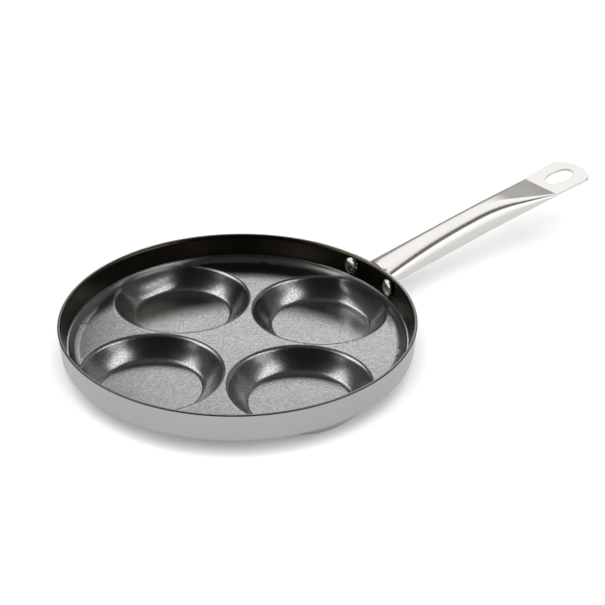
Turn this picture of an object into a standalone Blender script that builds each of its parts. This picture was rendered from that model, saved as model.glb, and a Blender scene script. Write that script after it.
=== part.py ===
# Egg pan: a cast aluminium pan with four egg wells, a tubular steel handle and two rivets.
# Metres, +Z up. The handle runs along +X, and the pan stands on the flat bottoms of its wells at z = 0.

from math import acos, asin, copysign, cos, hypot, pi, radians, sin, sqrt, tan

import bmesh
import bpy
from mathutils import Matrix, Vector
from mathutils.geometry import delaunay_2d_cdt

# Pan body
PAN_RADIUS = 0.130  # outside of the rim
THICKNESS = 0.002  # of the rim, the cooking surface and the wells
BOWL_DEPTH = 0.0201  # rim to cooking surface
OUTER_DRAFT = radians(5.0)  # lean of the side wall's outer face
OUTER_FILLET = 0.003  # between the wall and the underside
INNER_DRAFT = radians(13.0)  # the wall thickens towards its foot
INNER_FILLET = 0.0095  # from the cooking surface up to a narrow ledge at the foot of the wall
LEDGE_HEIGHT = 0.0036  # of that ledge, above the cooking surface
LEDGE_WIDTH = 0.0012
LEDGE_SLOPE = radians(8.0)

# Egg wells
WELL_COUNT = 4
WELL_PITCH_RADIUS = 0.0752  # pan centre to well centre
WELL_MOUTH_RADIUS = 0.0530  # where the lip meets the cooking surface
WELL_DEPTH = 0.0145
WELL_WALL_ANGLE = radians(56.0)  # steepest slope, right below the lip
WELL_LIP = 0.0045  # rounding at the mouth
WELL_HEEL = 0.0070  # rounding at the flat bottom
WELL_HEEL_ANGLE = radians(40.0)  # slope where the heel ends and the wall bows on in one wide arc
WELL_CROWDING = 2.0  # how much steeper a well falls away beside the side wall
WELL_BLEND = 0.004  # over which it takes this up

# Handle
HANDLE_LENGTH = 0.2208  # along its axis, from the pan's wall to the tip
HANDLE_DROP = 0.0091  # rim down to the axis, at the wall
HANDLE_RISE = radians(8.8)
TUBE_RADIUS = 0.0123
TUBE_WALL = 0.0012
ROOT_HALF_WIDTH = 0.0155  # at the pan the tube is pressed oval
ROOT_HALF_HEIGHT = 0.0090
ROOT_LENGTH = 0.090  # over which it grows round
PRESS_LENGTH = 0.0439  # the flat end, from its crease to the tip
PRESS_ANGLE = radians(11.0)  # slope of the pressed faces that run down to the crease
PRESS_EASE = 0.200  # radius that blends the round tube into these faces
PLATE_FLARE = 0.0020  # how much each side of the flat end widens towards the hole
PLATE_DROP = 0.0013  # the flat end lies this much below the tube's axis
TIP_LENGTH = 0.0128  # length of the rounded tip
HOLE_LENGTH = 0.028
HOLE_WIDTH = 0.0172
HOLE_TO_TIP = 0.0227  # hole centre to tip

# Bracket
BRACKET_SHEET = 0.0018
BRACKET_LENGTH = 0.064  # measured round the wall
BRACKET_HEIGHT = 0.014
PLUG_LENGTH = 0.014  # how far the hollow plug reaches into the tube

# Rivets
RIVET_SPACING = 0.0452
RIVET_DROP = 0.0083  # rim down to the rivets
RIVET_SHANK_RADIUS = 0.003
RIVET_HEAD_RADIUS = 0.0067
RIVET_HEAD_HEIGHT = 0.0034
RIVET_HEAD_EDGE = 0.0007
RIVET_TAIL_RADIUS = 0.0052
RIVET_TAIL_HEIGHT = 0.0022

SEAT_GAP = 0.0003  # between pieces that touch

# How finely the round shapes are faceted
PAN_SEGMENTS = 96
WELL_SEGMENTS = 40
TUBE_SEGMENTS = 36
RIVET_SEGMENTS = 28
CLOSEST_POINTS = 0.0011

# Sizes that follow
FLOOR_TOP = WELL_DEPTH + THICKNESS
RIM_TOP = FLOOR_TOP + BOWL_DEPTH
RIM_INNER_RADIUS = PAN_RADIUS - THICKNESS
PRESS_START = HANDLE_LENGTH - PRESS_LENGTH
HOLE_CENTRE = HANDLE_LENGTH - HOLE_TO_TIP
HANDLE_START = PAN_RADIUS - HANDLE_DROP * tan(OUTER_DRAFT)
REACH = HANDLE_START + HANDLE_LENGTH * cos(HANDLE_RISE)
PAN_CENTRE_X = -(REACH - PAN_RADIUS) / 2


def flank(distance, fillet, turn, slope):
    """Height of a fillet that turns up through an angle and then runs on straight at a slope."""
    return climb(distance, [(fillet, 0.0, turn)], slope)


def flank_run(height, fillet, turn, slope):
    """How far out the flank has to run to gain the height."""
    return fillet * sin(turn) + (height - fillet * (1 - cos(turn))) / tan(slope)


def climb(distance, arcs, slope):
    """Height gained along arcs, each a radius with the slopes at its two ends, and then straight on."""
    height = 0.0
    for radius, start, end in arcs:
        if distance <= 0:
            return height
        here = asin(min(sin(start) + distance / radius, sin(end)))
        height += radius * (cos(start) - cos(here))
        distance -= radius * (sin(end) - sin(start))
    return height + max(distance, 0.0) * tan(slope)


def blended_min(first, second, width):
    """The smaller of the two, rounded over where they are within the width of each other."""
    closeness = max(width - abs(first - second), 0.0)
    return min(first, second) - closeness**2 / (4 * width)


class Surface:
    """The inner or the outer face of the pan, as a height over the plan."""

    def __init__(self, rim_radius, floor, draft, fillet, turn, ledge, lip, heel):
        self.rim_radius = rim_radius
        self.floor = floor
        self.slope = pi / 2 - draft
        self.fillet = fillet
        self.turn = turn
        self.ledge = ledge
        ledge_top = fillet * (1 - cos(turn)) + ledge * tan(LEDGE_SLOPE)
        self.wall_radius = rim_radius - (RIM_TOP - floor - ledge_top) / tan(self.slope)
        self.foot_radius = self.wall_radius - ledge
        self.floor_radius = self.foot_radius - fillet * sin(turn)
        # A well runs out to the ledge inside, and underneath it leaves the corner whole.
        self.well_limit = self.foot_radius if ledge else self.floor_radius
        self.lip = lip
        self.lip_run = lip * sin(WELL_WALL_ANGLE)
        below_lip = WELL_DEPTH - lip * (1 - cos(WELL_WALL_ANGLE))
        above_heel = below_lip - heel * (1 - cos(WELL_HEEL_ANGLE))
        bow = above_heel / (cos(WELL_HEEL_ANGLE) - cos(WELL_WALL_ANGLE))
        self.well_side = [(heel, 0.0, WELL_HEEL_ANGLE), (bow, WELL_HEEL_ANGLE, WELL_WALL_ANGLE)]
        side_run = sum(radius * (sin(end) - sin(start)) for radius, start, end in self.well_side)
        self.flat_radius = WELL_MOUTH_RADIUS - self.lip_run - side_run

    def well_drop(self, inwards):
        """Depth of a well at this distance inwards from its mouth."""
        if inwards <= 0:
            return 0.0
        if inwards < self.lip_run:
            return self.lip - sqrt(self.lip**2 - inwards**2)
        outwards = WELL_MOUTH_RADIUS - inwards - self.flat_radius
        return WELL_DEPTH - climb(outwards, self.well_side, WELL_WALL_ANGLE)

    def inwards(self, x, y, centre):
        """How far in from the mouth of a well a point lies, counted faster beside the side wall."""
        from_mouth = WELL_MOUTH_RADIUS - hypot(x - centre[0], y - centre[1])
        from_wall = WELL_CROWDING * (self.well_limit - hypot(x, y))
        return blended_min(from_mouth, from_wall, WELL_BLEND)

    def rise(self, radius):
        """Height of the fillet, the ledge and the wall above the cooking surface."""
        past_foot = min(max(radius - self.foot_radius, 0.0), self.ledge)
        ledge_rise = past_foot * tan(LEDGE_SLOPE)
        return ledge_rise + flank(radius - past_foot - self.floor_radius, self.fillet, self.turn, self.slope)

    def height(self, x, y):
        drop = max(self.well_drop(self.inwards(x, y, centre)) for centre in well_centres())
        return self.floor + self.rise(hypot(x, y)) - drop

    def pan_radii(self, steps):
        arc = [self.floor_radius + self.fillet * sin(self.turn * i / steps) for i in range(steps + 1)]
        ledge_end = [self.wall_radius] if self.ledge else []
        return [self.rim_radius, *ledge_end, *reversed(arc)]

    def well_levels(self, steps):
        """Distances inwards at which the lip and the side of a well are faceted."""
        levels = [self.lip * sin(WELL_WALL_ANGLE * i / steps) for i in range(steps + 1)]
        to_flat = WELL_MOUTH_RADIUS - self.flat_radius
        for radius, start, end in self.well_side:
            turned = [start + (end - start) * i / steps for i in range(steps)]
            levels += [to_flat - radius * (sin(angle) - sin(start)) for angle in turned]
            to_flat -= radius * (sin(end) - sin(start))
        return levels

    def contour_point(self, centre, turn, level):
        """The point in this direction from the middle of a well that lies this far inwards."""
        low, high = 0.0, WELL_MOUTH_RADIUS
        for _ in range(24):
            radius = (low + high) / 2
            point = (centre[0] + radius * cos(turn), centre[1] + radius * sin(turn))
            low, high = (radius, high) if self.inwards(*point, centre) > level else (low, radius)
        return point


def well_centres():
    return ring(WELL_PITCH_RADIUS, WELL_COUNT)


def turns_round(segments, start=0.0):
    return [2 * pi * (i + start) / segments for i in range(segments)]


def ring(radius, segments):
    return [(radius * cos(turn), radius * sin(turn)) for turn in turns_round(segments)]


def spaced(points, apart):
    """The points, leaving out each that is closer than this to one already taken."""
    cells = {}
    taken = []
    for x, y in points:
        column, row = round(x / apart), round(y / apart)
        near = (cells.get((column + i, row + j), ()) for i in (-1, 0, 1) for j in (-1, 0, 1))
        if all(hypot(x - u, y - v) >= apart for cell in near for u, v in cell):
            cells.setdefault((column, row), []).append((x, y))
            taken.append((x, y))
    return taken


def add_surface(mesh, surface, upwards):
    """Adds the faceted surface to the mesh and returns the edges of its rim."""
    radii = surface.pan_radii(4)
    points = [point for radius in radii for point in ring(radius, PAN_SEGMENTS)]
    for centre in well_centres():
        points.append(centre)
        for level in surface.well_levels(3):
            contour = [surface.contour_point(centre, turn, level) for turn in turns_round(WELL_SEGMENTS)]
            points += [(x, y) for x, y in contour if hypot(x, y) < surface.well_limit - CLOSEST_POINTS / 2]
    plan = [Vector(point) for point in spaced(points, CLOSEST_POINTS)]
    # No facet crosses the rings of the wall and of the ledge.
    kept = []
    for k in range(sum(radius >= surface.foot_radius for radius in radii)):
        kept += [(k * PAN_SEGMENTS + i, k * PAN_SEGMENTS + (i + 1) % PAN_SEGMENTS) for i in range(PAN_SEGMENTS)]
    corners, _, triangles, *_ = delaunay_2d_cdt(plan, kept, [], 0, 1e-7)
    verts = [mesh.verts.new((c.x, c.y, surface.height(c.x, c.y))) for c in corners]
    faces = [mesh.faces.new([verts[i] for i in (t if upwards else reversed(t))]) for t in triangles]
    return [edge for face in faces for edge in face.edges if edge.is_boundary]


def loft(mesh, rings, closed_start=True, closed_end=True):
    """Joins rings of equal size with quads, in order, and caps the ends that are closed."""
    loops = [[mesh.verts.new(point) for point in points] for points in rings]
    for here, following in zip(loops, loops[1:]):
        for i, vert in enumerate(here):
            beside = (i + 1) % len(here)
            mesh.faces.new((vert, here[beside], following[beside], following[i]))
    if closed_start:
        mesh.faces.new(loops[0][::-1])
    if closed_end:
        mesh.faces.new(loops[-1])
    return loops


def finish(name, mesh, material, parent, matrix=Matrix(), smooth_angle=radians(50)):
    """Makes the object from the bmesh, shaded smooth, under its parent."""
    bmesh.ops.recalc_face_normals(mesh, faces=mesh.faces)
    data = bpy.data.meshes.new(name)
    mesh.to_mesh(data)
    mesh.free()
    data.shade_smooth()
    data.set_sharp_from_angle(angle=smooth_angle)
    if material:
        data.materials.append(material)
    obj = bpy.data.objects.new(name, data)
    bpy.context.scene.collection.objects.link(obj)
    obj.parent = parent
    obj.matrix_local = matrix
    return obj


def cut(target, cutter, operation="DIFFERENCE"):
    cutter.hide_render = True
    cutter.display_type = "WIRE"
    boolean = target.modifiers.new(cutter.name, "BOOLEAN")
    boolean.operation = operation
    boolean.solver = "EXACT"
    boolean.object = cutter


def empty(name, parent=None, matrix=Matrix()):
    obj = bpy.data.objects.new(name, None)
    obj.empty_display_size = 0.02
    bpy.context.scene.collection.objects.link(obj)
    obj.parent = parent
    obj.matrix_local = matrix
    return obj


def metal(name, colour, roughness):
    material = bpy.data.materials.new(name)
    material.use_nodes = True
    shader = material.node_tree.nodes["Principled BSDF"]
    shader.inputs["Base Color"].default_value = (*colour, 1.0)
    shader.inputs["Roughness"].default_value = roughness
    shader.inputs["Metallic"].default_value = 1.0
    return material


def wall_radius(height, offset=0.0):
    """Radius of the side wall's outer face at this height, moved out by the offset."""
    return PAN_RADIUS - (RIM_TOP - height) * tan(OUTER_DRAFT) + offset


def inner_wall_radius(height, offset=0.0):
    return RIM_INNER_RADIUS - (RIM_TOP - height) * tan(INNER_DRAFT) + offset


def meet_wall(place, y, z, face_radius, offset):
    """Where a line along local X, through y and z, meets a face of the wall moved out by the offset."""
    along = 0.0
    for _ in range(12):
        point = place @ Vector((along, y, z))
        along -= hypot(point.x, point.y) - face_radius(point.z, offset)
    return along


def handle_matrix():
    """At the outer face of the wall: local +X follows the handle's axis."""
    place = Matrix.Translation((HANDLE_START, 0, RIM_TOP - HANDLE_DROP))
    return place @ Matrix.Rotation(-HANDLE_RISE, 4, "Y")


def rivet_matrix(side):
    """At the outer face of the wall: local +X follows the outward normal."""
    height = RIM_TOP - RIVET_DROP
    turn = side * asin(RIVET_SPACING / 2 / wall_radius(height))
    place = Matrix.Rotation(turn, 4, "Z") @ Matrix.Translation((wall_radius(height), 0, height))
    return place @ Matrix.Rotation(OUTER_DRAFT, 4, "Y")


def build_pan(parent):
    inner_turn = acos(1 - LEDGE_HEIGHT / INNER_FILLET)
    outer_turn = pi / 2 - OUTER_DRAFT
    inner_wells = {"lip": WELL_LIP, "heel": WELL_HEEL}
    outer_wells = {"lip": WELL_LIP - THICKNESS, "heel": WELL_HEEL + THICKNESS}
    underside = FLOOR_TOP - THICKNESS
    inner_foot = (INNER_DRAFT, INNER_FILLET, inner_turn, LEDGE_WIDTH)
    outer_foot = (OUTER_DRAFT, OUTER_FILLET, outer_turn, 0.0)
    inside = Surface(RIM_INNER_RADIUS, FLOOR_TOP, *inner_foot, **inner_wells)
    outside = Surface(PAN_RADIUS, underside, *outer_foot, **outer_wells)
    mesh = bmesh.new()
    rims = add_surface(mesh, inside, True) + add_surface(mesh, outside, False)
    bmesh.ops.bridge_loops(mesh, edges=rims)
    pan = finish("pan_body", mesh, metal("aluminium", (0.62, 0.61, 0.59), 0.42), parent)
    for side in (-1, 1):
        cut(pan, rivet_hole(f"pan_rivet_hole_{side}", side, parent))
    return pan


def circle(radius, segments):
    return [(radius * cos(turn), radius * sin(turn)) for turn in turns_round(segments, 0.5)]


def across(section, x):
    """A ring square to local X from the (y, z) pairs of a section."""
    return [(x, y, z) for y, z in section]


def along_wall(section, place, face_radius, offset, share=1.0):
    """A ring along a face of the wall from the (y, z) pairs of a section, drawn in to a share of its size."""
    section = [(y * share, z * share) for y, z in section]
    return [(meet_wall(place, y, z, face_radius, offset), y, z) for y, z in section]


def rivet_hole(name, side, parent):
    mesh = bmesh.new()
    depth = 2 * RIVET_HEAD_RADIUS
    section = circle(RIVET_SHANK_RADIUS + SEAT_GAP, RIVET_SEGMENTS)
    loft(mesh, [across(section, -depth), across(section, depth)])
    return finish(name, mesh, None, parent, rivet_matrix(side))


def dome(start, height, radius, steps):
    """Rings of a round cap that rises from start and ends just short of its pole."""
    angles = [pi / 2 * i / steps for i in range(steps)] + [radians(88)]
    rings = [(start + height * sin(angle), circle(radius * cos(angle), RIVET_SEGMENTS)) for angle in angles]
    return [across(section, x) for x, section in rings]


def build_rivets(parent):
    steel = metal("rivet_metal", (0.78, 0.77, 0.75), 0.18)
    radii = (RIVET_HEAD_RADIUS, RIVET_SHANK_RADIUS, RIVET_TAIL_RADIUS)
    head, shank, tail = (circle(radius, RIVET_SEGMENTS) for radius in radii)
    over_bracket = SEAT_GAP + BRACKET_SHEET + SEAT_GAP
    for name, side in (("rivet_left", 1), ("rivet_right", -1)):
        place = rivet_matrix(side)
        head_seat = along_wall(head, place, inner_wall_radius, -SEAT_GAP)
        head_shank = along_wall(shank, place, inner_wall_radius, -SEAT_GAP)
        tail_shank = along_wall(shank, place, wall_radius, over_bracket)
        tail_seat = along_wall(tail, place, wall_radius, over_bracket)
        head_start = min(x for x, _, _ in head_seat) - RIVET_HEAD_EDGE
        tail_start = max(x for x, _, _ in tail_seat) + RIVET_HEAD_EDGE / 2
        rings = dome(head_start, RIVET_HEAD_EDGE - RIVET_HEAD_HEIGHT, RIVET_HEAD_RADIUS, 5)[::-1]
        rings += [head_seat, head_shank, tail_shank, tail_seat]
        rings += dome(tail_start, RIVET_TAIL_HEIGHT, RIVET_TAIL_RADIUS, 4)
        mesh = bmesh.new()
        loft(mesh, rings)
        finish(name, mesh, steel, parent, place)


def bracket_slab(name, inner_offset, outer_offset, length, grow, columns, parent, material=None):
    """A plate with round ends that lies along the outside of the wall at the height of the rivets."""
    half = BRACKET_HEIGHT / 2
    rings = []
    for i in range(columns + 1):
        along = -length / 2 * cos(pi * i / columns)
        past = max(abs(along) - (length / 2 - half), 0.0)
        half_height = grow + max(sqrt(max(half**2 - past**2, 0.0)), half / 8)
        section = []
        for up, offset in ((1, inner_offset), (1, outer_offset), (-1, outer_offset), (-1, inner_offset)):
            height = RIM_TOP - RIVET_DROP + up * half_height
            turn = along / wall_radius(RIM_TOP - RIVET_DROP)
            radius = wall_radius(height, offset)
            section.append((radius * cos(turn), radius * sin(turn), height))
        rings.append(section)
    mesh = bmesh.new()
    loft(mesh, rings)
    return finish(name, mesh, material, parent)


def plug_solid(name, inset, offset, end, handle):
    """Fills the tube's near end, drawn in all round, up to a face that lies along the wall."""
    section = tube_section(0, inset)
    rings = [along_wall(section, handle_matrix(), wall_radius, offset, share) for share in (0.1, 0.4, 0.7, 1.0)]
    mesh = bmesh.new()
    loft(mesh, [*rings, across(tube_section(end, inset), end)])
    return finish(name, mesh, None, handle)


def build_bracket(parent, handle):
    steel = metal("bracket_steel", (0.60, 0.60, 0.60), 0.35)
    outer = SEAT_GAP + BRACKET_SHEET
    bracket = bracket_slab("handle_bracket", SEAT_GAP, outer, BRACKET_LENGTH, 0.0, 40, parent, steel)
    inset = TUBE_WALL + SEAT_GAP
    cut(bracket, plug_solid("bracket_plug", inset, SEAT_GAP, PLUG_LENGTH, handle), "UNION")
    hollow_end = PLUG_LENGTH + BRACKET_SHEET
    cut(bracket, plug_solid("plug_hollow", inset + BRACKET_SHEET, outer, hollow_end, handle))
    for side in (-1, 1):
        cut(bracket, rivet_hole(f"bracket_rivet_hole_{side}", side, parent))
    return bracket


def pressed_from():
    """Where along the handle the round tube starts to flatten."""
    return PRESS_START - flank_run(TUBE_RADIUS - TUBE_WALL, PRESS_EASE, PRESS_ANGLE, PRESS_ANGLE)


def tube_half_height(x):
    """Half the height of the tube's section: oval at the pan, then round, then pressed flat."""
    rootward = max(1 - x / ROOT_LENGTH, 0.0) ** 2
    pressed = flank(x - pressed_from(), PRESS_EASE, PRESS_ANGLE, PRESS_ANGLE)
    return max(TUBE_RADIUS - (TUBE_RADIUS - ROOT_HALF_HEIGHT) * rootward - pressed, TUBE_WALL)


def tube_half_width(x):
    """Half the width of the section, which keeps the round tube's girth until the plate widens."""
    rootward = max(1 - x / ROOT_LENGTH, 0.0) ** 2
    if rootward > 0:
        return TUBE_RADIUS + (ROOT_HALF_WIDTH - TUBE_RADIUS) * rootward
    half_height = tube_half_height(x)
    width = half_height + pi * (TUBE_RADIUS - half_height) / 2
    widening = min(max((x - PRESS_START) / (PRESS_LENGTH - TIP_LENGTH), 0.0), 1.0)
    into_tip = min(max((x - HANDLE_LENGTH) / TIP_LENGTH + 1, 0.0), 1.0)
    return (width + PLATE_FLARE * widening) * sqrt(1 - into_tip**2)


def tube_section(x, inset=0.0):
    """(y, z) pairs: an oval towards the pan, and flat faces joined by half rounds towards the tip."""
    half_height = tube_half_height(x) - inset
    half_width = tube_half_width(x) - inset
    pressed_share = (TUBE_RADIUS - tube_half_height(x)) / (TUBE_RADIUS - TUBE_WALL)
    drop = PLATE_DROP * pressed_share if x > ROOT_LENGTH else 0.0
    end_width = half_width if x < ROOT_LENGTH else min(half_height, half_width)
    turns = circle(1.0, TUBE_SEGMENTS)
    return [(copysign(half_width - end_width, y) + end_width * y, half_height * z - drop) for y, z in turns]


def build_handle(parent, handle):
    root = [ROOT_LENGTH * i / 6 for i in range(1, 7)]
    eased = [pressed_from() + PRESS_EASE * sin(PRESS_ANGLE * i / 4) for i in range(5)]
    tip_angles = [radians(angle) for angle in (0, 22, 42, 58, 70, 80, 86)]
    tip = [HANDLE_LENGTH - TIP_LENGTH * (1 - sin(angle)) for angle in tip_angles]
    # The bore runs in until the pressed walls all but meet.
    bore_end = PRESS_START - SEAT_GAP / 2 / tan(PRESS_ANGLE)
    stations = [*root, *eased, (eased[-1] + PRESS_START) / 2, PRESS_START, *tip]
    mesh = bmesh.new()
    for inset, places in ((0.0, stations), (TUBE_WALL, [*root, *eased, bore_end])):
        near = along_wall(tube_section(0, inset), handle_matrix(), wall_radius, SEAT_GAP)
        loft(mesh, [near] + [across(tube_section(x, inset), x) for x in places], closed_start=False)
    bmesh.ops.bridge_loops(mesh, edges=[edge for edge in mesh.edges if edge.is_boundary])
    tube = finish("handle_tube", mesh, metal("brushed_steel", (0.74, 0.73, 0.71), 0.25), handle)
    # The near end is notched over the bracket, so that above and below it the tube reaches the wall.
    clear = SEAT_GAP + BRACKET_SHEET + SEAT_GAP
    cut(tube, bracket_slab("bracket_notch", -THICKNESS, clear, BRACKET_LENGTH, SEAT_GAP, 24, parent))
    hole = bmesh.new()
    outline = [(HOLE_CENTRE + HOLE_LENGTH / 2 * x, HOLE_WIDTH / 2 * y) for x, y in circle(1.0, TUBE_SEGMENTS)]
    loft(hole, [[(x, y, z) for x, y in outline] for z in (-TUBE_RADIUS, TUBE_RADIUS)])
    cut(tube, finish("hanging_hole", hole, None, handle))
    return tube


def main():
    for obj in list(bpy.data.objects):
        bpy.data.objects.remove(obj, do_unlink=True)
    pan_centre = empty("egg_pan", matrix=Matrix.Translation((PAN_CENTRE_X, 0, 0)))
    handle_axis = empty("handle_axis", pan_centre, handle_matrix())
    build_pan(pan_centre)
    build_rivets(pan_centre)
    build_bracket(pan_centre, handle_axis)
    build_handle(pan_centre, handle_axis)


main()
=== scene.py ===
# Egg pan with four wells and a pressed tube handle, on a pale floor in soft studio light.
# Metres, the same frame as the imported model. The handle runs along +X and the wells stand on z = 0.

from math import acos, asin, atan2, cos, hypot, pi, radians, sin, sqrt, tan

import bmesh
import bpy
from mathutils import Matrix, Vector


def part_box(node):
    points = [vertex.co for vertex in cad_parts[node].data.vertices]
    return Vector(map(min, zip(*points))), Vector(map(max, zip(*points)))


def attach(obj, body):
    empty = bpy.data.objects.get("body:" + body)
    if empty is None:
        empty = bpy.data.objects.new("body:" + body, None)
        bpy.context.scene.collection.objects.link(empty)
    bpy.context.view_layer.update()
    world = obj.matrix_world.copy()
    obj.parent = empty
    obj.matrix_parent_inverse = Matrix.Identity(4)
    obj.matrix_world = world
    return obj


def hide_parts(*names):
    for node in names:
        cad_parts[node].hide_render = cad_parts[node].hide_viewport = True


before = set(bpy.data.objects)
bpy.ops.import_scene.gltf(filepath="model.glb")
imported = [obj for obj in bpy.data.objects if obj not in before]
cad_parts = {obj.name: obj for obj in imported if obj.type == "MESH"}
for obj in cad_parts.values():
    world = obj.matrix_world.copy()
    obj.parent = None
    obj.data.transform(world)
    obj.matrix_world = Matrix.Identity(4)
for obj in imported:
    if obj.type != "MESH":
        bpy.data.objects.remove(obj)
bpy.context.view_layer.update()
scene = bpy.context.scene
print("frame loaded:", ", ".join(sorted(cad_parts)))


# Small tools that every piece uses

def newPiece(name, mesh, material=None):
    data = bpy.data.meshes.new(name)
    bmesh.ops.recalc_face_normals(mesh, faces=mesh.faces)
    mesh.to_mesh(data)
    mesh.free()
    data.shade_smooth()
    piece = bpy.data.objects.new(name, data)
    scene.collection.objects.link(piece)
    if material:
        data.materials.append(material)
    return piece


def settle(piece):  # turns what the modifiers give into a plain mesh and drops the modifiers
    graph = bpy.context.evaluated_depsgraph_get()
    graph.update()
    made = bpy.data.meshes.new_from_object(piece.evaluated_get(graph), depsgraph=graph)
    made.name = piece.name
    piece.modifiers.clear()
    piece.data = made
    if len(made.materials) > 1:  # an empty slot comes first where a node sets the material
        finish = made.materials[-1]
        made.materials.clear()
        made.materials.append(finish)
        made.polygons.foreach_set("material_index", [0] * len(made.polygons))
    return piece


def carry(piece, slotName, *nodes):
    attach(piece, "root")
    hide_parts(*nodes)


def quadRows(mesh, rows, closed=False):  # joins neighbouring rows of points with four-sided faces
    for here, following in zip(rows, rows[1:]):
        count = len(here) if closed else len(here) - 1
        for i in range(count):
            beside = (i + 1) % len(here)
            corners = (here[i], here[beside], following[beside], following[i])
            if len(set(corners)) == 4:
                mesh.faces.new(corners)


# Shader node tools

def newMaterial(name):
    material = bpy.data.materials.new(name)
    material.use_nodes = True
    tree = material.node_tree
    return material, tree, tree.nodes["Principled BSDF"]


def addNode(tree, kind, values=None, **settings):
    node = tree.nodes.new(kind)
    for key, value in settings.items():
        setattr(node, key, value)
    for key, value in (values or {}).items():
        if isinstance(value, bpy.types.NodeSocket):
            tree.links.new(value, node.inputs[key])
        else:
            node.inputs[key].default_value = value
    return node


def maths(tree, operation, first, second=0.0):
    return addNode(tree, "ShaderNodeMath", {0: first, 1: second}, operation=operation).outputs[0]


def between(tree, value, low, high, newLow=0.0, newHigh=1.0):  # a soft step from one level to another
    values = {"Value": value, "From Min": low, "From Max": high, "To Min": newLow, "To Max": newHigh}
    return addNode(tree, "ShaderNodeMapRange", values, interpolation_type="SMOOTHSTEP").outputs["Result"]


def blendColours(tree, share, first, second):
    return addNode(tree, "ShaderNodeMix", {0: share, 6: first, 7: second}, data_type="RGBA").outputs[2]


def newGroup(name, inputs, outputs):
    group = bpy.data.node_groups.new(name, "ShaderNodeTree")
    for label, kind, value in inputs:
        socket = group.interface.new_socket(name=label, in_out="INPUT", socket_type=kind)
        if value is not None:
            socket.default_value = value
    for label, kind in outputs:
        group.interface.new_socket(name=label, in_out="OUTPUT", socket_type=kind)
    start = group.nodes.new("NodeGroupInput")
    end = group.nodes.new("NodeGroupOutput")
    return group, start, end


def useGroup(tree, group, values):
    return addNode(tree, "ShaderNodeGroup", values, node_tree=group)


def noiseIn(group, start, scale, **settings):  # noise over the group's own vector
    values = {"Vector": start.outputs["Vector"], "Scale": start.outputs[scale]}
    values.update(settings)
    return addNode(group, "ShaderNodeTexNoise", values).outputs[0]


def buildBrushedGrain():  # fine lines that run along one direction, as from a belt or a lathe
    group, start, end = newGroup(
        "brushedGrain",
        [("Vector", "NodeSocketVector", None), ("Fine", "NodeSocketFloat", 1.0)],
        [("Grain", "NodeSocketFloat")],
    )
    fine = noiseIn(group, start, "Fine", Detail=3.0, Roughness=0.6)
    group.links.new(fine, end.inputs["Grain"])
    return group


def buildSpeckle():  # sprayed coat: fine pebbles, the higher ones brighter
    group, start, end = newGroup(
        "sprayedSpeckle",
        [("Vector", "NodeSocketVector", None), ("Scale", "NodeSocketFloat", 700.0)],
        [("Height", "NodeSocketFloat"), ("Flakes", "NodeSocketFloat")],
    )
    pebble = noiseIn(group, start, "Scale", Detail=1.0, Roughness=0.5)
    group.links.new(pebble, end.inputs["Height"])
    group.links.new(between(group, pebble, 0.35, 0.65), end.inputs["Flakes"])
    return group


def buildHandling():  # faint broad marks from wiping and handling
    group, start, end = newGroup(
        "handlingMarks",
        [("Vector", "NodeSocketVector", None), ("Size", "NodeSocketFloat", 18.0)],
        [("Marks", "NodeSocketFloat")],
    )
    broad = noiseIn(group, start, "Size", Detail=4.0, Roughness=0.62, Distortion=0.6)
    group.links.new(between(group, broad, 0.35, 0.7), end.inputs["Marks"])
    return group


brushedGrain = buildBrushedGrain()
sprayedSpeckle = buildSpeckle()
handlingMarks = buildHandling()


def stretched(tree, scale, turn=(0, 0, 0)):  # Object coordinates, scaled unequally for a grain
    coordinates = addNode(tree, "ShaderNodeTexCoord").outputs["Object"]
    values = {"Vector": coordinates, "Scale": scale, "Rotation": turn}
    return addNode(tree, "ShaderNodeMapping", values).outputs[0]


# Geometry node tools

def newGeometryGroup(name, inputs):
    group = bpy.data.node_groups.new(name, "GeometryNodeTree")
    group.interface.new_socket(name="Geometry", in_out="INPUT", socket_type="NodeSocketGeometry")
    sockets = {}
    for label, kind, value in inputs:
        socket = group.interface.new_socket(name=label, in_out="INPUT", socket_type=kind)
        if value is not None:
            socket.default_value = value
        sockets[label] = socket.identifier
    group.interface.new_socket(name="Geometry", in_out="OUTPUT", socket_type="NodeSocketGeometry")
    return group, group.nodes.new("NodeGroupInput"), group.nodes.new("NodeGroupOutput"), sockets


def finishTree(group, end, geometry, material):  # smooth faces and a finish, then out
    smooth = addNode(group, "GeometryNodeSetShadeSmooth", {"Geometry": geometry})
    painted = addNode(group, "GeometryNodeSetMaterial", {"Geometry": smooth.outputs[0], "Material": material})
    group.links.new(painted.outputs[0], end.inputs["Geometry"])


# The pan: one rule gives the height of its inner and its outer face over the plan

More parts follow.
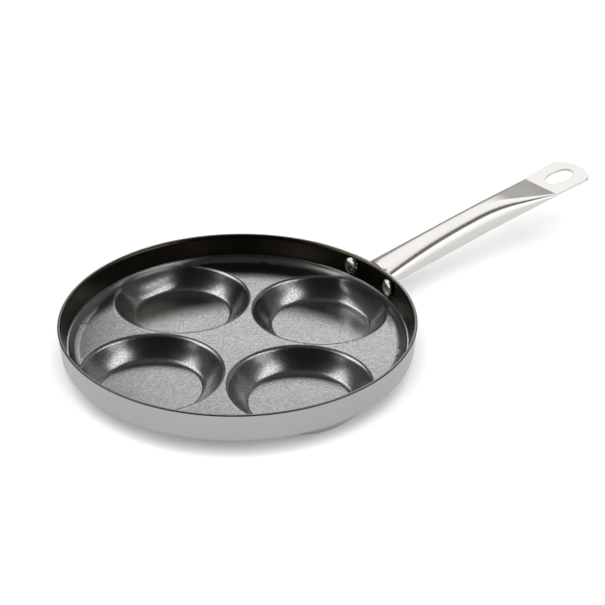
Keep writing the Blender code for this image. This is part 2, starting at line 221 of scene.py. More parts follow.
panSizes = {
    "rimRadius": 0.130,
    "sheet": 0.002,
    "bowlDepth": 0.0201,  # rim to cooking surface
    "outerDraft": radians(5.0),
    "outerFillet": 0.003,
    "innerDraft": radians(13.0),
    "innerFillet": 0.0095,
    "footHeight": 0.0036,  # where the fillet ends in a narrow ledge below the side wall
    "ledge": 0.0007,
    "ledgeSlope": radians(1.0),
    "ledgeRound": 0.00035,
    "rimEdge": 0.00030,  # rounding of the rim's inner edge
    "rimShoulder": 0.00075,  # rounding of its outer edge
    "wellCount": 4,
    "wellPitch": 0.0752,
    "wellMouth": 0.0530,
    "wellDepth": 0.0145,
    "wellWall": radians(56.0),  # the steepest part, right below the lip
    "wellLip": 0.0045,
    "wellHeel": 0.0070,
    "wellHeelTurn": radians(40.0),  # from here up the wall bows outwards in one wide arc
    "wellCrowding": 1.4,  # a well falls away faster beside the side wall
    "wellBlend": 0.004,  # how softly that begins
    "coatTop": 0.00034,  # the coating ends this far below the rim
    "coat": 0.00010,
    "coatGap": 0.00002,
    "weld": 0.000001,
    "columns": 72,  # along a quarter of the side wall
    "sideColumns": 60,  # along each cut between two quarters
    "sideCrowding": 1.4,  # draws these together by the wall
    "nearWall": 0.016,  # the grid is finer this close to the wall
}

floorTop = panSizes["wellDepth"] + panSizes["sheet"]
rimTop = floorTop + panSizes["bowlDepth"]
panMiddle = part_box("pan_body")[0].x + panSizes["rimRadius"]
print("pan middle", round(panMiddle, 5), "rim", round(rimTop, 5))


def flank(distance, fillet, turn, slope):  # a fillet that turns up and then runs on straight
    turned = fillet * sin(turn)
    if distance <= 0:
        return 0.0
    if distance <= turned:
        return fillet - sqrt(fillet**2 - distance**2)
    return fillet * (1 - cos(turn)) + (distance - turned) * tan(slope)


def flankRun(height, fillet, turn, slope):  # how far out it reaches this height
    return fillet * sin(turn) + (height - fillet * (1 - cos(turn))) / tan(slope)


def climb(distance, arcs, slope):  # height gained outwards over arcs (radius, start, end), then straight on
    height = 0.0
    for radius, start, end in arcs:
        if distance <= 0:
            return height
        if start == end:
            height += min(distance, radius) * tan(start)
            distance -= radius
            continue
        run = radius * abs(sin(end) - sin(start))
        way = 1 if end > start else -1
        here = asin(sin(start) + way * min(distance, run) / radius)
        height += radius * abs(cos(start) - cos(here))
        distance -= run
    return height + max(distance, 0.0) * tan(slope)


def arcsRun(arcs):  # an arc whose start and end are alike is a straight stretch of that length
    return sum(radius if start == end else radius * abs(sin(end) - sin(start)) for radius, start, end in arcs)


def blendedMin(first, second, width):  # the smaller of the two, with a soft change from one to the other
    closeness = max(width - abs(first - second), 0.0)
    return min(first, second) - closeness**2 / (4 * width)


class PanFace:  # the inner or the outer face of the pan, over a plan centred on the pan's axis
    def __init__(self, inner):
        s = panSizes
        sheet = 0.0 if inner else s["sheet"]
        self.rimRadius = s["rimRadius"] - (s["sheet"] if inner else 0.0)
        self.floor = floorTop - sheet
        self.slope = pi / 2 - (s["innerDraft"] if inner else s["outerDraft"])
        self.fillet = s["innerFillet"] if inner else s["outerFillet"]
        self.turn = acos(1 - s["footHeight"] / s["innerFillet"]) if inner else self.slope
        self.foot = [(self.fillet, 0.0, self.turn)]
        if inner:
            self.foot += [(s["ledgeRound"], self.turn, s["ledgeSlope"]),
                          (s["ledge"], s["ledgeSlope"], s["ledgeSlope"]),
                          (s["ledgeRound"], s["ledgeSlope"], self.slope)]
        footRun = arcsRun(self.foot)
        footRise = climb(footRun, self.foot, 0.0)
        self.wallRadius = self.rimRadius - (rimTop - self.floor - footRise) / tan(self.slope)
        self.floorRadius = self.wallRadius - footRun
        # The wells end at this radius, and the grid changes there from the well's rays to plain rings.
        self.edgeRadius = self.floorRadius + (self.fillet * sin(self.turn) if inner else 0.0)
        lip, heel, wall, turn = s["wellLip"], s["wellHeel"], s["wellWall"], s["wellHeelTurn"]
        belly = (s["wellDepth"] - lip * (1 - cos(wall)) - heel * (1 - cos(turn))) / (cos(turn) - cos(wall))
        self.lip, self.heel, self.belly = lip - sheet, heel + sheet, belly + sheet
        self.lipRun = self.lip * sin(wall)
        self.side = [(self.heel, 0.0, turn), (self.belly, turn, wall)]
        self.flatRadius = s["wellMouth"] - self.lipRun - arcsRun(self.side)

    def wellDrop(self, inwards):  # how deep a well is, this far in from its mouth
        s = panSizes
        if inwards <= 0:
            return 0.0
        if inwards < self.lipRun:
            return self.lip - sqrt(self.lip**2 - inwards**2)
        return s["wellDepth"] - climb(s["wellMouth"] - inwards - self.flatRadius, self.side, s["wellWall"])

    def inwards(self, x, y):  # from the mouth of the well that lies on +X
        s = panSizes
        fromMouth = s["wellMouth"] - hypot(x - s["wellPitch"], y)
        fromWall = s["wellCrowding"] * (self.edgeRadius - hypot(x, y))
        return blendedMin(fromMouth, fromWall, s["wellBlend"])

    def rise(self, radius):  # of the foot and the wall above the cooking surface
        return climb(radius - self.floorRadius, self.foot, self.slope)

    def height(self, x, y):
        return self.floor + self.rise(hypot(x, y)) - self.wellDrop(self.inwards(x, y))

    def point(self, x, y, depth=0.0):  # on the face, or this far below it along its normal
        z = self.height(x, y)
        if not depth:
            return Vector((x, y, z))
        step = 0.00002
        dx = (self.height(x + step, y) - self.height(x - step, y)) / (2 * step)
        dy = (self.height(x, y + step) - self.height(x, y - step)) / (2 * step)
        return Vector((x, y, z)) - depth * Vector((-dx, -dy, 1)).normalized()

    def wellLevels(self, lipSteps, heelSteps, bellySteps=6):  # distances in from the mouth to place points at
        s = panSizes
        wall, turn = s["wellWall"], s["wellHeelTurn"]
        lip = [self.lip * sin(wall * i / lipSteps) for i in range(lipSteps + 1)]
        bows = [wall + (turn - wall) * i / bellySteps for i in range(1, bellySteps + 1)]
        belly = [self.belly * (sin(wall) - sin(bow)) for bow in bows]
        heel = [self.heel * (sin(turn) - sin(turn * (1 - i / heelSteps))) for i in range(1, heelSteps + 1)]
        levels = lip + [lip[-1] + run for run in belly] + [lip[-1] + belly[-1] + run for run in heel]
        return levels + [s["wellMouth"] - self.flatRadius * 0.5]

    def quarterEdge(self):  # plan points round the quarter: its arc, then in to the pan's middle and back
        s = panSizes
        middle = Vector((s["wellPitch"], 0))
        arc = []
        for i in range(s["columns"] + 1):
            turn = radians(-45 + 90 * i / s["columns"])
            arc.append(Vector((self.edgeRadius * cos(turn), self.edgeRadius * sin(turn))))
        first = atan2(arc[-1].y, arc[-1].x - middle.x)
        side = []
        for i in range(1, s["sideColumns"]):
            turn = first + (pi - first) * (i / s["sideColumns"]) ** s["sideCrowding"]
            ray = Vector((cos(turn), sin(turn)))
            along = middle.x / (ray.y - ray.x)  # meets the line y = x
            side.append(middle + ray * along)
        mirrored = [Vector((p.x, -p.y)) for p in reversed(side)]
        return arc, side + [Vector((0, 0))] + mirrored

    def addQuarter(self, mesh, depth, lipSteps, heelSteps, outerSteps):  # rays from a well's middle
        s = panSizes
        middle = Vector((s["wellPitch"], 0))
        arc, sides = self.quarterEdge()
        levels = self.wellLevels(lipSteps, heelSteps)
        edge = arc + sides
        rays = []
        centre = mesh.verts.new(self.point(middle.x, middle.y, depth))
        for target in edge:
            way = target - middle
            reach = way.length
            way.normalize()
            places = []
            for level in reversed(levels):
                low, high = 0.0, reach
                for _ in range(30):  # halves the stretch in which the level lies
                    half = (low + high) / 2
                    spot = middle + way * half
                    low, high = (half, high) if self.inwards(spot.x, spot.y) > level else (low, half)
                places.append(low)
            mouth = places[-1]
            near = min(s["nearWall"], (reach - mouth) * 0.7)
            few = outerSteps // 3
            for i in range(1, few + 1):
                places.append(mouth + (reach - mouth - near) * i / few)
            for i in range(1, outerSteps - few + 1):
                places.append(reach - near * (1 - i / (outerSteps - few)))
            rays.append([mesh.verts.new(self.point(*(middle + way * place), depth)) for place in places])
        count = len(rays)
        for i, ray in enumerate(rays):
            beside = rays[(i + 1) % count]
            mesh.faces.new((centre, ray[0], beside[0]))
            for k in range(len(ray) - 1):
                mesh.faces.new((ray[k], ray[k + 1], beside[k + 1], beside[k]))
        return [ray[-1] for ray in rays[:len(arc)]]

    def addRings(self, mesh, edge, profile):  # goes on from the quarter's edge along (radius, height) pairs
        rows = [edge]
        for radius, height in profile:
            row = []
            for i in range(len(edge)):
                turn = radians(-45 + 90 * i / (len(edge) - 1))
                row.append(mesh.verts.new((radius * cos(turn), radius * sin(turn), height)))
            rows.append(row)
        quadRows(mesh, rows)
        return rows[-1]

    def wallProfile(self, steps, topHeight, depth=0.0):  # ledge or outer fillet, then the wall up to the top
        radii = []
        if self.edgeRadius > self.floorRadius:  # the inner face, whose fillet is in the quarter already
            reach = self.edgeRadius
            for radius, start, end in self.foot[1:]:
                if start == end:
                    radii.append(reach + radius)
                    reach += radius
                    continue
                for i in range(1, 6):
                    turn = start + (end - start) * i / 5
                    radii.append(reach + radius * abs(sin(turn) - sin(start)))
                reach = radii[-1]
        else:
            radii = [self.floorRadius + self.fillet * sin(self.turn * i / 8) for i in range(1, 9)]
        top = self.rimRadius - (rimTop - topHeight) / tan(self.slope)
        radii += [radii[-1] + (top - radii[-1]) * i / steps for i in range(1, steps + 1)]
        pairs = []
        for radius in radii:
            step = 0.00001
            lean = (self.rise(radius + step) - self.rise(radius - step)) / (2 * step)
            normal = Vector((-lean, 1)).normalized()
            pairs.append((radius - depth * normal.x, self.floor + self.rise(radius) - depth * normal.y))
        return pairs


def buildRingOfWells():  # turns one quarter round the pan and welds the cuts
    group, start, end, sockets = newGeometryGroup(
        "ringOfWells",
        [("Wells", "NodeSocketInt", 4), ("Weld", "NodeSocketFloat", 0.000001),
         ("Material", "NodeSocketMaterial", None)],
    )
    places = addNode(group, "GeometryNodeMeshLine", {"Count": start.outputs["Wells"], "Offset": (0, 0, 0)})
    index = addNode(group, "GeometryNodeInputIndex").outputs[0]
    step = maths(group, "DIVIDE", 2 * pi, start.outputs["Wells"])
    turn = maths(group, "MULTIPLY", index, step)
    turns = addNode(group, "ShaderNodeCombineXYZ", {"Z": turn}).outputs[0]
    copies = addNode(group, "GeometryNodeInstanceOnPoints", {
        "Points": places.outputs["Mesh"], "Instance": start.outputs["Geometry"], "Rotation": turns})
    real = addNode(group, "GeometryNodeRealizeInstances", {"Geometry": copies.outputs[0]})
    welded = addNode(group, "GeometryNodeMergeByDistance", {
        "Geometry": real.outputs[0], "Distance": start.outputs["Weld"]})
    finishTree(group, end, welded.outputs[0], start.outputs["Material"])
    return group, sockets


ringOfWells, ringSockets = buildRingOfWells()


def fullPan(name, mesh, material):
    piece = newPiece(name, mesh)
    nodes = piece.modifiers.new("ring of wells", "NODES")
    nodes.node_group = ringOfWells
    nodes[ringSockets["Wells"]] = panSizes["wellCount"]
    nodes[ringSockets["Weld"]] = panSizes["weld"]
    nodes[ringSockets["Material"]] = material
    settle(piece)
    piece.data.transform(Matrix.Translation((panMiddle, 0, 0)))
    whole = bmesh.new()
    whole.from_mesh(piece.data)
    bmesh.ops.recalc_face_normals(whole, faces=whole.faces)
    openEdges = sum(1 for edge in whole.edges if len(edge.link_faces) != 2)
    print(name, "triangles", sum(len(f.verts) - 2 for f in whole.faces), "open edges", openEdges)
    whole.to_mesh(piece.data)
    whole.free()
    return piece


def buildCoating(material):
    s = panSizes
    face = PanFace(inner=True)
    mesh = bmesh.new()
    top = rimTop - s["coatTop"]
    above = face.addQuarter(mesh, 0.0, lipSteps=9, heelSteps=12, outerSteps=26)
    aboveEnd = face.addRings(mesh, above, face.wallProfile(6, top))
    below = face.addQuarter(mesh, s["coat"], lipSteps=4, heelSteps=5, outerSteps=4)
    belowEnd = face.addRings(mesh, below, face.wallProfile(2, top - s["coat"] * 0.3, s["coat"]))
    quadRows(mesh, [aboveEnd, belowEnd])
    return fullPan("pan_coating", mesh, material)


def buildShell(material):
    s = panSizes
    outer, inner = PanFace(inner=False), PanFace(inner=True)
    mesh = bmesh.new()
    edge, shoulder = s["rimEdge"], s["rimShoulder"]
    outside = outer.addQuarter(mesh, 0.0, lipSteps=6, heelSteps=10, outerSteps=6)
    profile = outer.wallProfile(5, rimTop - shoulder)
    start = profile[-1][0]
    for i in range(1, 9):  # round outer edge of the rim
        turn = radians(90 * i / 8)
        profile.append((start - shoulder * (1 - cos(turn)), rimTop - shoulder * (1 - sin(turn))))
    flatInner = inner.rimRadius + edge
    flatOuter = profile[-1][0]
    profile += [(flatOuter + (flatInner - flatOuter) * share, rimTop) for share in (0.33, 0.67)]
    for i in range(6):  # round inner edge
        turn = radians(90 - 90 * i / 5)
        profile.append((flatInner - edge * cos(turn), rimTop - edge * (1 - sin(turn))))
    rim = outer.addRings(mesh, outside, profile)
    depth = s["coat"] + s["coatGap"]
    hidden = inner.addQuarter(mesh, depth, lipSteps=4, heelSteps=5, outerSteps=4)
    hiddenEnd = inner.addRings(mesh, hidden, inner.wallProfile(2, rimTop - edge - depth, depth))
    quadRows(mesh, [rim, hiddenEnd])
    return fullPan("pan_shell", mesh, material)


# The handle: a tube that is oval at the pan and pressed flat at its end

handleSizes = {
    "length": 0.2208,
    "drop": 0.0091,  # rim down to the axis
    "rise": radians(8.8),
    "tubeRadius": 0.0123,
    "tubeWall": 0.0012,
    "rootHalfWidth": 0.0155,
    "rootHalfHeight": 0.0090,
    "rootLength": 0.090,
    "pressLength": 0.0439,
    "pressAngle": radians(11.0),
    "pressEase": 0.200,
    "creaseSoftness": 0.00006,
    "plateFlare": 0.0020,
    "plateDrop": 0.0013,
    "tipLength": 0.0128,
    "holeLength": 0.028,
    "holeWidth": 0.0172,
    "holeToTip": 0.0227,
    "holeEdge": 0.0004,
    "boreStations": (0.006, 0.012, 0.020, 0.030),  # the tube is hollow this far, and solid beyond
    "gap": 0.0003,  # between pieces that touch
    "around": 30,  # points on a quarter of the section
    "firstRing": 0.004,  # the first ring past the wall, and the steps between those that follow
    "tubeStep": 0.003,
    "pressStep": 0.0016,
    "plateStep": 0.0015,
}

pressStart = handleSizes["length"] - handleSizes["pressLength"]
handleStart = panSizes["rimRadius"] - handleSizes["drop"] * tan(panSizes["outerDraft"])


def handlePlace():
    place = Matrix.Translation((panMiddle + handleStart, 0, rimTop - handleSizes["drop"]))
    return place @ Matrix.Rotation(-handleSizes["rise"], 4, "Y")


def pressedFrom():
    s = handleSizes
    fall = s["tubeRadius"] - s["tubeWall"]
    return pressStart - flankRun(fall, s["pressEase"], s["pressAngle"], s["pressAngle"])


def rootward(x):  # 1 at the pan, down to 0 where the tube is round
    return max(1 - x / handleSizes["rootLength"], 0.0) ** 2


def tubeHalfHeight(x):
    s = handleSizes
    pressed = flank(x - pressedFrom(), s["pressEase"], s["pressAngle"], s["pressAngle"])
    height = s["tubeRadius"] - (s["tubeRadius"] - s["rootHalfHeight"]) * rootward(x) - pressed
    closeness = max(s["creaseSoftness"] - abs(height - s["tubeWall"]), 0.0)
    return max(height, s["tubeWall"]) + closeness**2 / (4 * s["creaseSoftness"])


def tubeHalfWidth(x):
    s = handleSizes
    if rootward(x) > 0:
        return s["tubeRadius"] + (s["rootHalfWidth"] - s["tubeRadius"]) * rootward(x)
    halfHeight = tubeHalfHeight(x)
    width = halfHeight + pi * (s["tubeRadius"] - halfHeight) / 2
    widening = min(max((x - pressStart) / (s["pressLength"] - s["tipLength"]), 0.0), 1.0)
    intoTip = min(max((x - s["length"]) / s["tipLength"] + 1, 0.0), 1.0)
    return (width + s["plateFlare"] * widening) * sqrt(max(1 - intoTip**2, 0.0))


def tubeSection(x, inset=0.0):  # (y, z) pairs, closer together where the section is tightly bent
    s = handleSizes
    halfHeight = tubeHalfHeight(x) - inset
    halfWidth = tubeHalfWidth(x) - inset
    drop = 0.0
    if x > s["rootLength"]:
        drop = s["plateDrop"] * (s["tubeRadius"] - tubeHalfHeight(x)) / (s["tubeRadius"] - s["tubeWall"])
    nose = x - (s["length"] - s["tubeWall"])
    if nose > 0:  # the tip's edge is rounded as the sides are
        halfHeight *= sqrt(max(1 - (nose / s["tubeWall"]) ** 2, 0.0004))
    endWidth = halfWidth if x < s["rootLength"] else min(halfHeight, halfWidth)
    flat = halfWidth - endWidth
    bend = endWidth * pi / 2
    bendShare = 1.0 if flat <= 0 else 0.5 + 0.5 * bend / (bend + flat)
    quarter = []
    for i in range(s["around"]):
        share = (i + 0.5) / s["around"]
        if share < bendShare:
            turn = pi / 2 * share / bendShare
            quarter.append((flat + endWidth * cos(turn), halfHeight * sin(turn)))
        else:
            quarter.append((flat * (1 - share) / (1 - bendShare), halfHeight))
    left = [(-y, z) for y, z in reversed(quarter)]
    upper = quarter + left
    lower = [(y, -z) for y, z in reversed(upper)]
    return [(y, z - drop) for y, z in upper + lower]


def wallRadius(height, offset=0.0):  # of the wall's outer face, or of a face this far outside it
    return panSizes["rimRadius"] - (rimTop - height) * tan(panSizes["outerDraft"]) + offset


def meetWall(place, y, z, offset):  # how far along the handle a line through (y, z) leaves that face
    along = 0.0
    for _ in range(12):
        spot = place @ Vector((along, y, z))
        along -= hypot(spot.x - panMiddle, spot.y) - wallRadius(spot.z, offset)
    return along


def alongWall(section, offset, share=1.0):  # the section, laid against the wall
    place = handlePlace()
    return [(meetWall(place, y * share, z * share, offset), y * share, z * share) for y, z in section]


def loft(mesh, rings, closeStart=True, closeEnd=True):
    rows = [[mesh.verts.new(spot) for spot in ring] for ring in rings]
    quadRows(mesh, rows, closed=True)
    if closeStart:
        mesh.faces.new(rows[0][::-1])
    if closeEnd:
        mesh.faces.new(rows[-1])
    return rows


def cutPiece(piece, cutter, operation="DIFFERENCE"):
    boolean = piece.modifiers.new("cut", "BOOLEAN")
    boolean.operation = operation
    boolean.solver = "EXACT"
    boolean.object = cutter
    settle(piece)
    bpy.data.objects.remove(cutter)


def spacedStations(low, high, step):
    count = max(round((high - low) / step), 1)
    return [low + (high - low) * i / count for i in range(count + 1)]


def buildHandle(material):
    s = handleSizes
    soft = s["creaseSoftness"] / tan(s["pressAngle"])
    tipStart = s["length"] - s["tipLength"]
    stations = spacedStations(s["firstRing"], pressedFrom(), s["tubeStep"])
    stations += spacedStations(pressedFrom(), pressStart - soft, s["pressStep"])[1:]
    stations += spacedStations(pressStart - soft, pressStart + soft, soft / 2.5)[1:]
    stations += spacedStations(pressStart + soft, tipStart, s["plateStep"])[1:]
    stations += [tipStart + s["tipLength"] * sin(radians(3 * i)) for i in range(1, 30)]
    noseStart = s["length"] - s["tubeWall"]
    stations = [x for x in stations if x < noseStart - 0.0001]
    stations += [noseStart + s["tubeWall"] * sin(radians(7.5 * i)) for i in range(12)]
    mesh = bmesh.new()
    outside = [alongWall(tubeSection(0.0), s["gap"])]
    outside += [[(x, y, z) for y, z in tubeSection(x)] for x in stations]
    bore = [alongWall(tubeSection(0.0, s["tubeWall"]), s["gap"])]
    bore += [[(x, y, z) for y, z in tubeSection(x, s["tubeWall"])] for x in s["boreStations"]]
    outer, inner = loft(mesh, outside, closeStart=False), loft(mesh, bore, closeStart=False)
    quadRows(mesh, [outer[0], inner[0]], closed=True)
    handle = newPiece("handle", mesh, material)
    handle.data.transform(handlePlace())
    clear = s["gap"] + bracketSizes["sheet"] + s["gap"]
    cutPiece(handle, bracketSlab("notch", -0.002, clear, bracketSizes["length"], s["gap"], 0.0))
    cutPiece(handle, holeCutter())
    return handle


def holeCutter():  # an oval that flares at both faces of the plate, so the cut has rounded edges
    s = handleSizes
    middle = s["length"] - s["holeToTip"]
    edge, half = s["holeEdge"], s["tubeWall"]
    levels = [(-half - 0.002, edge * 1.5)]
    for i in range(7):
        lift = sin(radians(90 * i / 6))
        levels.append((-half - 0.00002 + edge * lift, edge * (1 - sqrt(1 - (1 - lift) ** 2))))
    levels += [(-z, grow) for z, grow in reversed(levels)]
    rings = []
    for z, grow in levels:
        ring = []
        for i in range(72):
            turn = 2 * pi * i / 72
            x = middle + (s["holeLength"] / 2 + grow) * cos(turn)
            ring.append((x, (s["holeWidth"] / 2 + grow) * sin(turn), z - s["plateDrop"]))
        rings.append(ring)
    mesh = bmesh.new()
    loft(mesh, rings)
    cutter = newPiece("hole", mesh)
    cutter.data.transform(handlePlace())
    return cutter


# The bracket: a curved plate outside the wall with a drawn cup inside the tube

bracketSizes = {
    "sheet": 0.0018,
    "length": 0.064,
    "height": 0.014,
    "endHalfHeight": 0.0005,  # its round ends stop short of a point
    "edge": 0.0004,
    "cupLength": 0.014,
    "columns": 64,
}

rivetSizes = {
    "spacing": 0.0452,
    "drop": 0.0083,
    "shankRadius": 0.003,
    "headRadius": 0.0067,
    "headHeight": 0.0034,
    "headEdge": 0.0007,
    "tailRadius": 0.0052,
    "tailHeight": 0.0022,
    "curveRoom": 0.0003,  # keeps the flat head clear of the curved wall
    "segments": 48,
}


def bracketSlab(name, innerOffset, outerOffset, length, grow, edge, material=None):
    s = bracketSizes
    half = s["height"] / 2
    middle = rimTop - rivetSizes["drop"]
    rings = []
    for i in range(s["columns"] + 1):
        along = -length / 2 * cos(pi * i / s["columns"])
        past = max(abs(along) - (length / 2 - half), 0.0)
        halfHeight = grow + max(sqrt(max(half**2 - past**2, 0.0)), s["endHalfHeight"])
        tight = min(edge, halfHeight * 0.8)
        section = []  # (rise, offset) pairs round the sheet, with a rounded edge at each corner
        for k, (up, out) in enumerate(((1, -1), (1, 1), (-1, 1), (-1, -1))):
            rise = up * (halfHeight - tight)
            offset = (outerOffset if out > 0 else innerOffset) - out * edge
            for j in range(5 if edge else 1):
                turn = radians(90 * k + 22.5 * j)
                section.append((rise + tight * sin(turn), offset - edge * cos(turn)))
        turn = along / wallRadius(middle)
        ring = []
        for rise, offset in section:
            radius = wallRadius(middle + rise, offset)
            ring.append((panMiddle + radius * cos(turn), radius * sin(turn), middle + rise))
        rings.append(ring)
    mesh = bmesh.new()
    loft(mesh, rings)
    return newPiece(name, mesh, material)


def cupSolid(name, inset, offset, end):
    section = tubeSection(0.0, inset)
    rings = [alongWall(section, offset, share) for share in (0.1, 0.4, 0.7, 1.0)]
    rings.append([(end, y, z) for y, z in tubeSection(end, inset)])
    mesh = bmesh.new()
    loft(mesh, rings)
    cup = newPiece(name, mesh)
    cup.data.transform(handlePlace())
    return cup


def buildBracket(material):
    s = bracketSizes
    gap = handleSizes["gap"]
    outer = gap + s["sheet"]
    bracket = bracketSlab("bracket", gap, outer, s["length"], 0.0, s["edge"], material)
    inset = handleSizes["tubeWall"] + gap
    cutPiece(bracket, cupSolid("cup", inset, gap * 1.5, s["cupLength"]), "UNION")
    cutPiece(bracket, cupSolid("cupInside", inset + s["sheet"], outer, s["cupLength"] + s["sheet"]))
    return bracket


# The rivets: turned domes on both ends of a shank, placed by a node tree

def dome(group, segments, radius, height, edge, seat, side):  # a ball, flattened below, along local X
    ball = addNode(group, "GeometryNodeMeshUVSphere", {"Segments": segments, "Rings": 24, "Radius": 1.0})
    place = addNode(group, "GeometryNodeInputPosition").outputs[0]
    parts = addNode(group, "ShaderNodeSeparateXYZ", {0: place}).outputs
    lifted = maths(group, "MULTIPLY", maths(group, "MAXIMUM", parts["Z"], 0.0), height)
    lowered = maths(group, "MULTIPLY", maths(group, "MINIMUM", parts["Z"], 0.0), edge)
    along = maths(group, "ADD", lifted, lowered)
    reach = maths(group, "ADD", seat, maths(group, "MULTIPLY", along, side))
    across = maths(group, "MULTIPLY", parts["X"], radius)
    sideways = maths(group, "MULTIPLY", parts["Y"], maths(group, "MULTIPLY", radius, side))
    spot = addNode(group, "ShaderNodeCombineXYZ", {"X": reach, "Y": sideways, "Z": across}).outputs[0]
    values = {"Geometry": ball.outputs["Mesh"], "Position": spot}
    return addNode(group, "GeometryNodeSetPosition", values).outputs[0]


def buildRivetTree():
    labels = ("Spacing", "Wall Radius", "Height", "Lean", "Shank Radius", "Head Radius", "Head Height",
              "Head Edge", "Head Seat", "Tail Radius", "Tail Height", "Tail Seat")
    inputs = [(label, "NodeSocketFloat", None) for label in labels]
    inputs += [("Segments", "NodeSocketInt", 48), ("Material", "NodeSocketMaterial", None)]
    group, start, end, sockets = newGeometryGroup("rivetPair", inputs)
    give = start.outputs

    def combine(first, second, operation="ADD"):
        return maths(group, operation, first, second)

    segments, edge = give["Segments"], give["Head Edge"]
    headSeat = combine(give["Head Seat"], edge, "SUBTRACT")
    tailSeat = combine(give["Tail Seat"], edge)
    headRise = combine(give["Head Height"], edge, "SUBTRACT")
    head = dome(group, segments, give["Head Radius"], headRise, edge, headSeat, -1.0)
    tail = dome(group, segments, give["Tail Radius"], give["Tail Height"], edge, tailSeat, 1.0)
    length = combine(tailSeat, headSeat, "SUBTRACT")
    shank = addNode(group, "GeometryNodeMeshCylinder", {
        "Vertices": segments, "Radius": give["Shank Radius"], "Depth": length})
    halfway = combine(combine(tailSeat, headSeat), 0.5, "MULTIPLY")
    shift = addNode(group, "ShaderNodeCombineXYZ", {"X": halfway}).outputs[0]
    moved = addNode(group, "GeometryNodeTransform", {
        "Geometry": shank.outputs["Mesh"], "Translation": shift, "Rotation": (0, pi / 2, 0)})
    whole = addNode(group, "GeometryNodeJoinGeometry")
    for piece in (head, tail, moved.outputs[0]):
        group.links.new(piece, whole.inputs[0])
    points = addNode(group, "GeometryNodeMeshLine", {"Count": 2, "Offset": (0, 0, 0)})
    index = addNode(group, "GeometryNodeInputIndex").outputs[0]
    side = combine(combine(index, 2.0, "MULTIPLY"), 1.0, "SUBTRACT")
    ratio = combine(combine(give["Spacing"], 0.5, "MULTIPLY"), give["Wall Radius"], "DIVIDE")
    turn = combine(maths(group, "ARCSINE", ratio), side, "MULTIPLY")
    east = combine(maths(group, "COSINE", turn), give["Wall Radius"], "MULTIPLY")
    north = combine(maths(group, "SINE", turn), give["Wall Radius"], "MULTIPLY")
    spot = addNode(group, "ShaderNodeCombineXYZ", {"X": east, "Y": north, "Z": give["Height"]}).outputs[0]
    placed = addNode(group, "GeometryNodeSetPosition", {"Geometry": points.outputs["Mesh"], "Position": spot})
    turns = addNode(group, "ShaderNodeCombineXYZ", {"Y": give["Lean"], "Z": turn}).outputs[0]
    copies = addNode(group, "GeometryNodeInstanceOnPoints", {
        "Points": placed.outputs[0], "Instance": whole.outputs[0], "Rotation": turns})
    real = addNode(group, "GeometryNodeRealizeInstances", {"Geometry": copies.outputs[0]})
    finishTree(group, end, real.outputs[0], give["Material"])
    return group, sockets


def buildRivets(material):
    s = rivetSizes
    group, sockets = buildRivetTree()
    piece = newPiece("rivets", bmesh.new())
    height = rimTop - s["drop"]
    innerRadius = PanFace(inner=True).rimRadius - s["drop"] * tan(panSizes["innerDraft"])
    headSeat = (innerRadius - wallRadius(height)) - handleSizes["gap"] - s["curveRoom"]
    values = {
        "Spacing": s["spacing"], "Wall Radius": wallRadius(height), "Height": height,
        "Lean": panSizes["outerDraft"], "Head Radius": s["headRadius"], "Head Height": s["headHeight"],
        "Head Edge": s["headEdge"], "Head Seat": headSeat, "Tail Radius": s["tailRadius"],
        "Tail Height": s["tailHeight"], "Tail Seat": 2 * handleSizes["gap"] + bracketSizes["sheet"],
        "Shank Radius": s["shankRadius"], "Segments": s["segments"], "Material": material,
    }
    nodes = piece.modifiers.new("rivets", "NODES")
    nodes.node_group = group
    for label, value in values.items():
        nodes[sockets[label]] = value
    settle(piece)
    piece.data.transform(Matrix.Translation((panMiddle, 0, 0)))
    return piece


# Finishes

coatingLook = {
    "base": (0.382, 0.388, 0.388, 1),
    "flake": (0.508, 0.514, 0.514, 1),
    "fillet": (0.24, 0.24, 0.237, 1),  # painted reflection: darker where the cooking surface turns up, standing in for the dark side wall mirrored there
    "wall": (0.078, 0.067, 0.044, 1),  # painted shade: nearly black above the ledge, where the side wall looks dark
    "speckle": 700.0,
    "marks": 22.0,
    "roughness": (0.23, 0.245),  # from clean to marked
    "relief": (0.03, 0.0001),  # strength and depth
}

aluminiumLook = {
    "base": (0.46, 0.448, 0.438, 1),
    "dull": (0.435, 0.424, 0.414, 1),
    "rimBand": (0.50, 0.49, 0.48, 1),  # flat top of the rim
    "rimLine": (0.13, 0.125, 0.12, 1),  # its rounded outer edge
    "grain": 160.0,
    "marks": 14.0,
    "roughness": (0.33, 0.41),
    "relief": (0.05, 0.0002),
}

steelLook = {
    "base": (0.74, 0.72, 0.69, 1),
    "dull": (0.66, 0.64, 0.61, 1),
    "grain": 60.0,
    "marks": 20.0,
    "roughness": (0.24, 0.265),
    "relief": (0.04, 0.0002),
}

rivetLook = {
    "base": (0.72, 0.71, 0.69, 1),
    "marks": 240.0,
    "roughness": (0.15, 0.25),
}


def fromAxis(tree, coordinates):  # distance from the pan's axis, and the height
    values = {0: coordinates, 1: (panMiddle, 0, 0)}
    place = addNode(tree, "ShaderNodeVectorMath", values, operation="SUBTRACT").outputs[0]
    parts = addNode(tree, "ShaderNodeSeparateXYZ", {0: place}).outputs
    flat = addNode(tree, "ShaderNodeCombineXYZ", {0: parts["X"], 1: parts["Y"]}).outputs[0]
    radius = addNode(tree, "ShaderNodeVectorMath", {0: flat}, operation="LENGTH").outputs["Value"]
    return radius, parts["Z"]


def marked(tree, shader, look):  # metal that gets rougher where it is marked
    plain = addNode(tree, "ShaderNodeTexCoord").outputs["Object"]
    marks = useGroup(tree, handlingMarks, {"Vector": plain, "Size": look["marks"]}).outputs["Marks"]
    shader.inputs["Metallic"].default_value = 1.0
    tree.links.new(between(tree, marks, 0, 1, *look["roughness"]), shader.inputs["Roughness"])
    return plain


